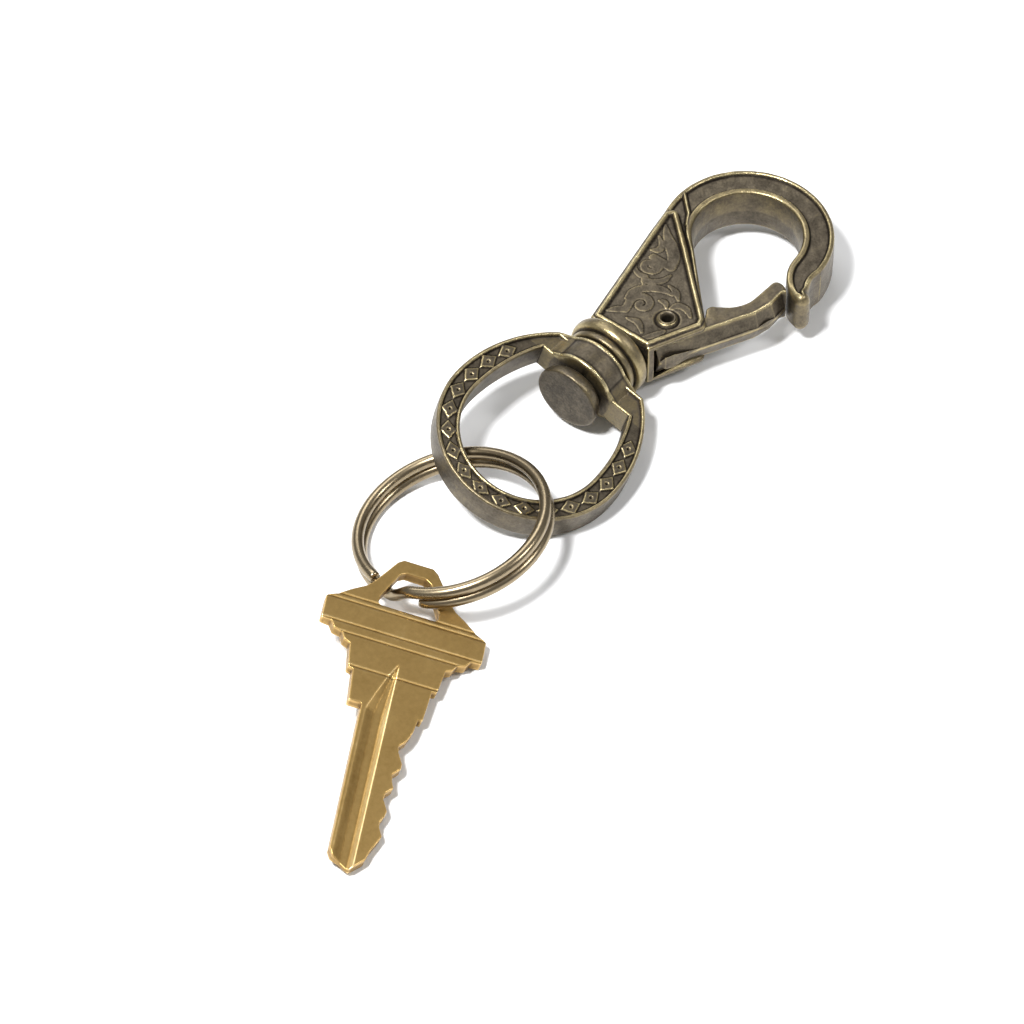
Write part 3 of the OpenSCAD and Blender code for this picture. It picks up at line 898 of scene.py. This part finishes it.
# Torsion spring round the pin
coil_a = np.linspace(0, 360 * SPRING_TURNS, 160)
coil_z = -SPRING_RISE / 2 + SPRING_RISE * coil_a / coil_a[-1]
coil = np.column_stack([PIVOT + polar(SPRING_R, SPRING_FROM + coil_a), coil_z])
spring_ob = tube("gate_spring_wire", coil, np.full(len(coil), SPRING_WIRE_R), 12)
finish_piece(spring_ob, SPRING, "gate", "gate_spring", reach=2)


# ---------------------------------------------------------------- swivel rivet

# A flat face with a rounded rim, a domed back and the shank; heights are from the swivel's middle
head_rim = [(HEAD_R - HEAD_RIM_R * (1 - math.sin(a)), HEAD_FACE + HEAD_RIM_R * (1 - math.cos(a)))
            for a in np.linspace(0, 1.5, 6)]
head_dome = [(HEAD_R - DOME_W * (1 - math.cos(a)), HEAD_MID + DOME_H * math.sin(a))
             for a in np.linspace(0.05, 1.5, 14)]
rivet_profile = ([(r, HEAD_FACE) for r in (0, 0.8, 1.6, 2.4, 3.2, 3.9, 4.35)] + head_rim + head_dome
                 + [(SHANK_R, HEAD_BACK), (SHANK_R, SHANK_END), (0, SHANK_END)])
rivet_ob = lathe("swivel_rivet_turned", rivet_profile, SWIVEL, TO_HOOK)
finish_piece(rivet_ob, CAST, "clip", "swivel_rivet", reach=2,
             rubbed_and_lit=lambda p: -0.16 * (p[:, 0] < SWIVEL[0] + HEAD_FACE + 0.1))


# ---------------------------------------------------------------- bow

def half_edge(root, cx, half, end, n=24):
    """One limb from its root at the saddle, widening round an arc, then the half-round end."""
    dx, drop = root[0] - cx, half - root[1]
    r = (dx * dx + drop * drop) / (2 * drop)
    sweep = math.asin(dx / r)
    turns = [sweep * i / n for i in range(n, 0, -1)]
    limb = [(cx + r * math.sin(a), half - r + r * math.cos(a)) for a in turns]
    tip = [(cx - end * math.sin(a), half * math.cos(a)) for a in np.linspace(0, math.pi / 2, 2 * n)]
    return limb + tip


def both_sides(points):
    """The points and their mirror image, as one outline."""
    return np.array(points + [(x, -y) for x, y in points[::-1]])


bow_outer = both_sides([SHOULDER] + half_edge(LIMB_ROOT, BOW_CX, BOW_HALF, BOW_HALF))
bow_inner = both_sides(half_edge(INNER_CORNER, BOW_IN_CX, BOW_OPEN_HALF, BOW_OPEN_END))
channel_mid = both_sides(half_edge(CHANNEL_ROOT, BOW_CX - 0.1, (BOW_HALF + BOW_OPEN_HALF) / 2,
                                   (BOW_HALF + BOW_OPEN_END) / 2))
shift = np.array([0, BOW_SHIFT])
bow_outer, bow_inner, channel_mid = bow_outer + shift, bow_inner + shift, channel_mid + shift
outer_edge, inner_edge = closed_loop(bow_outer, BOW_PITCH), closed_loop(bow_inner, BOW_PITCH)


def bow_height(p, d):
    """A sunk channel between two rims, with a row of diamonds that have a dot sunk in each."""
    do, di = distance(p, outer_edge), distance(p, inner_edge)
    s, v, total = along(p, channel_mid)
    sunk = smooth(do, *BOW_RIM) * smooth(di, *BOW_RIM)
    step = (total - 2 * CHANNEL_END) / DIAMONDS
    place = (s - CHANNEL_END) / step
    u = place % 1.0 - 0.5
    lozenge = np.abs(u) * step / DIAMOND_HALF_L + np.abs(v) / DIAMOND_HALF_W
    lift = (1 - smooth(lozenge, 0.86, 0.98)) * (place > 0) * (place < DIAMONDS)
    lift = lift * smooth(np.hypot(u * step, v), *DOT_R)
    h = BOW_HALF_T - CHANNEL_DEPTH * sunk + DIAMOND_RISE * sunk * lift
    return h - edge_drop(d, BOW_EDGE_R) + cast_surface(p, 0.008)


bow_ob = relief_plate("bow_cast", bow_outer, [bow_inner], bow_height,
                      pitch=0.135, edge_r=BOW_EDGE_R, bulge=0.06)

# Saddle: a round band over the swivel, with feet that run out into the shoulders
saddle_arc = [tuple(polar(SADDLE_R, a)) for a in np.linspace(36, 144, 40)]
saddle_foot = curve_through([(6.8, 1.55), (6.25, 1.85), (5.65, 2.25), (5.0, 2.75), saddle_arc[0]], 5)[:-1]
saddle_top = [tuple(q) for q in saddle_foot] + saddle_arc + [(-x, y) for x, y in saddle_foot[::-1]]
saddle_loop = saddle_top + [(-x, -y) for x, y in saddle_top]
low, high = -SADDLE_X[1], -SADDLE_X[0]
stations = [(low, -0.32), (low + 0.06, -0.16), (low + 0.2, -0.03), (low + 0.38, 0.0), (low + 0.55, -0.04),
            (low + 0.68, -0.13), (low + BAND_RIM, -BAND_DIP)]
far_stations = [(low + high - h, o) for h, o in stations[::-1]]
band = high - low - 2 * BAND_RIM
stations += [(low + BAND_RIM + band * k / BAND_STEPS, -BAND_DIP) for k in range(1, BAND_STEPS)]
stations += far_stations
saddle = prism("saddle", saddle_loop, stations)
saddle.data.transform(Matrix.Rotation(math.radians(-90), 4, "Z") @ Matrix.Rotation(math.radians(90), 4, "X"))
combine(bow_ob, saddle, "UNION")
# The bore passes through the saddle only
drill(bow_ob, SHANK_R + RUNNING, -2 * BORE_HALF_L, 0, (0, 0, 0), TO_HOOK, 64)
put(bow_ob, SWIVEL, Matrix.Rotation(math.radians(BOW_ROLL), 4, "X"))


def bow_rubbed(p):
    """Worn round the saddle."""
    away = p[:, 0] - SWIVEL[0]
    return 0.3 * smooth(np.hypot(p[:, 1] - SWIVEL[1], p[:, 2]), 5.25, 5.4) * (away > SADDLE_X[0] - 0.2)


finish_piece(bow_ob, CAST, "bow", "bow", rubbed_and_lit=bow_rubbed)


# ---------------------------------------------------------------- split ring

# Two turns of wire: it steps from the upper turn down to the lower one over the jog
ring_a = np.linspace(360 - RING_UPPER_GAP, RING_JOG + RING_LOWER_GAP - 360, RING_POINTS)
ring_z = RING_LIFT * (2 * smooth(ring_a, 0, RING_JOG) - 1)
ring_path = np.column_stack([polar(RING_R, ring_a), ring_z])
wire = np.full(len(ring_a), WIRE_R)
wire[:3] = wire[:-4:-1] = WIRE_R * np.array([0.8, 0.93, 0.99])
ring_ob = tube("split_ring_wire", ring_path, wire, 28)
put(ring_ob, RING_AT, turn_matrix(RING_TURN) @ Matrix.Rotation(math.radians(RING_JOG_AT), 4, "Z"))
finish_piece(ring_ob, RING, "ring", "split_ring", reach=2, scale=0.05)


# ---------------------------------------------------------------- key

# Outlines in the key's own frame: +X runs from the blade's tip to the head
head_side = [(25.2, 5.2), (30.0, 5.6), (30.2, 6.3), (33.8, 6.8), (34.2, 7.7), (35.2, 8.2), (35.5, 9.4),
             (36.5, 10.0), (36.6, 11.4), (40.2, 11.4), (40.9, 9.9), (42.3, 8.1), (43.4, 6.4), (44.4, 5.5),
             (48.5, 2.9), (49.1, 2.1)]
cuts = [(25.2, -4.6), (23.0, -4.3), (21.4, -3.7), (20.3, -2.8), (19.4, -3.0), (17.8, -3.8), (17.0, -3.8),
        (15.8, -2.8), (14.8, -3.0), (13.8, -3.4), (12.8, -2.5), (11.8, -2.4), (10.2, -3.2), (9.4, -3.1),
        (8.2, -2.6), (7.4, -2.7), (6.2, -3.3), (5.2, -2.9), (3.6, -2.2), (2.0, -1.8), (0.2, -0.1)]
key_loop = ([(0.2, 0.4), (1.5, 2.6), (2.5, 3.15), (25.2, 3.4)] + head_side
            + [(x, -y) for x, y in head_side[::-1]] + cuts)
hole_side = [(41.1, 4.3), (42.4, 4.2), (46.6, 2.2), (47.1, 1.4)]
key_hole = hole_side + [(x, -y) for x, y in hole_side[::-1]]


def key_height(p, d):
    x, y = p[:, 0], p[:, 1]
    h = np.full(len(p), KEY_HALF_T)
    # Groove down the blade: a dark side, a flat floor and a bright side; it runs out to a point
    left = GROOVE_LOW + (GROOVE_TOP - GROOVE_LOW) * np.clip((GROOVE_START - x) / GROOVE_RUN, 0, 1) ** 0.8
    span = (GROOVE_TOP - GROOVE_LOW) / np.maximum(left - GROOVE_LOW, 1e-3)
    fall = np.clip((left - y) * span / DARK_SIDE_W, 0, 1)
    rise = np.clip((y - GROOVE_LOW) * span / BRIGHT_SIDE_W, 0, 1)
    h -= GROOVE_DEPTH * np.minimum(fall, rise) / np.clip(span, 1, 20) ** 0.7
    for at in SCORES:
        h -= SCORE_DEPTH * np.exp(-((x - at) / SCORE_HALF_W) ** 2)
    return h - edge_drop(d, KEY_EDGE_R)


key_ob = relief_plate("key_cut", round_corners(key_loop, 0.22, 3), [round_corners(key_hole, 0.5, 4)],
                      key_height, pitch=0.15, edge_r=KEY_EDGE_R)
put(key_ob, KEY_AT, turn_matrix(KEY_TURN))


def key_painted_shade_and_highlight(p):
    """Painted shade on the key's side walls, partly patina in the cuts, and on the falling side of its
    groove; a painted highlight on the groove's rising side.
    """
    flat = (p - np.array(KEY_AT)) @ np.array(turn_matrix(KEY_TURN).to_3x3())
    x, y, z = flat.T
    blade = (x < 31.5) * (np.abs(z) > 0.3)
    # Painted highlight on the groove's rising side, painted shade on its falling side
    painted_groove_highlight = blade * np.exp(-((y - GROOVE_LOW - 0.35) / 0.3) ** 2)
    painted_groove_shade = blade * (x < 25) * np.exp(-((y - 2.1) / 0.5) ** 2)
    # Side walls darkened: painted shade, partly patina in the cuts
    return 0.6 * painted_groove_highlight - 0.35 * painted_groove_shade - 0.55 * (1 - smooth(np.abs(z), 0.35, 0.8)) * (1 - blade)


finish_piece(key_ob, KEY_MAT, "key", "key", scale=0.05, rubbed_and_lit=key_painted_shade_and_highlight)


# ---------------------------------------------------------------- floor, camera and light

FLOOR_GAP = 0.00002
bpy.ops.mesh.primitive_plane_add(size=3.0, location=(-0.05, 0, cad_box[0].z - FLOOR_GAP))
floor = bpy.context.object
floor.name = "floor"
paper = bpy.data.materials.new("white_paper")
paper.use_nodes = True
surface = paper.node_tree.nodes["Principled BSDF"].inputs
surface["Base Color"].default_value = (0.93, 0.935, 0.94, 1)
surface["Roughness"].default_value = 0.9
surface["Specular IOR Level"].default_value = 0.1
floor.data.materials.append(paper)

# The camera looks from EYE to AIM
AIM = Vector((-55.0, 0.35, -6.3)) * MM
EYE = Vector((-404.5, -267.8, 537.7)) * MM
camera = bpy.data.objects.new("camera", bpy.data.cameras.new("camera"))
bpy.context.scene.collection.objects.link(camera)
camera.location = EYE
camera.rotation_mode = "QUATERNION"
camera.rotation_quaternion = (AIM - EYE).to_track_quat("-Z", "Y")
camera.data.sensor_width = 36
camera.data.lens = 176.46
camera.data.clip_start = 0.01
camera.data.clip_end = 10
bpy.context.scene.camera = camera

# The camera's heading, which the lights are placed by
VIEW_TURN = Matrix.Rotation(math.radians(-52.5), 3, "Z")


def area_light(name, place, size, power):
    """place is in millimetres, seen from the camera: right, away and up from the object."""
    data = bpy.data.lights.new(name, "AREA")
    data.shape = "RECTANGLE"
    data.size, data.size_y = size
    data.energy = power
    ob = bpy.data.objects.new(name, data)
    bpy.context.scene.collection.objects.link(ob)
    ob.location = AIM + VIEW_TURN @ Vector(place) * MM
    ob.rotation_mode = "QUATERNION"
    ob.rotation_quaternion = (AIM - ob.location).to_track_quat("-Z", "Y")


area_light("key_light", (-190, -165, 590), (0.1, 0.1), 5.6)
area_light("side_light", (420, -60, 480), (0.12, 0.12), 1.1)
area_light("soft_light", (-190, 500, 600), (0.46, 0.36), 2.0)
world = bpy.data.worlds.new("studio")
bpy.context.scene.world = world
world.use_nodes = True
sky = world.node_tree.nodes["Background"].inputs
sky["Color"].default_value = (1, 1, 1, 1)
sky["Strength"].default_value = 0.29
bpy.context.scene.view_settings.view_transform = "Standard"
bpy.context.scene.view_settings.look = "None"
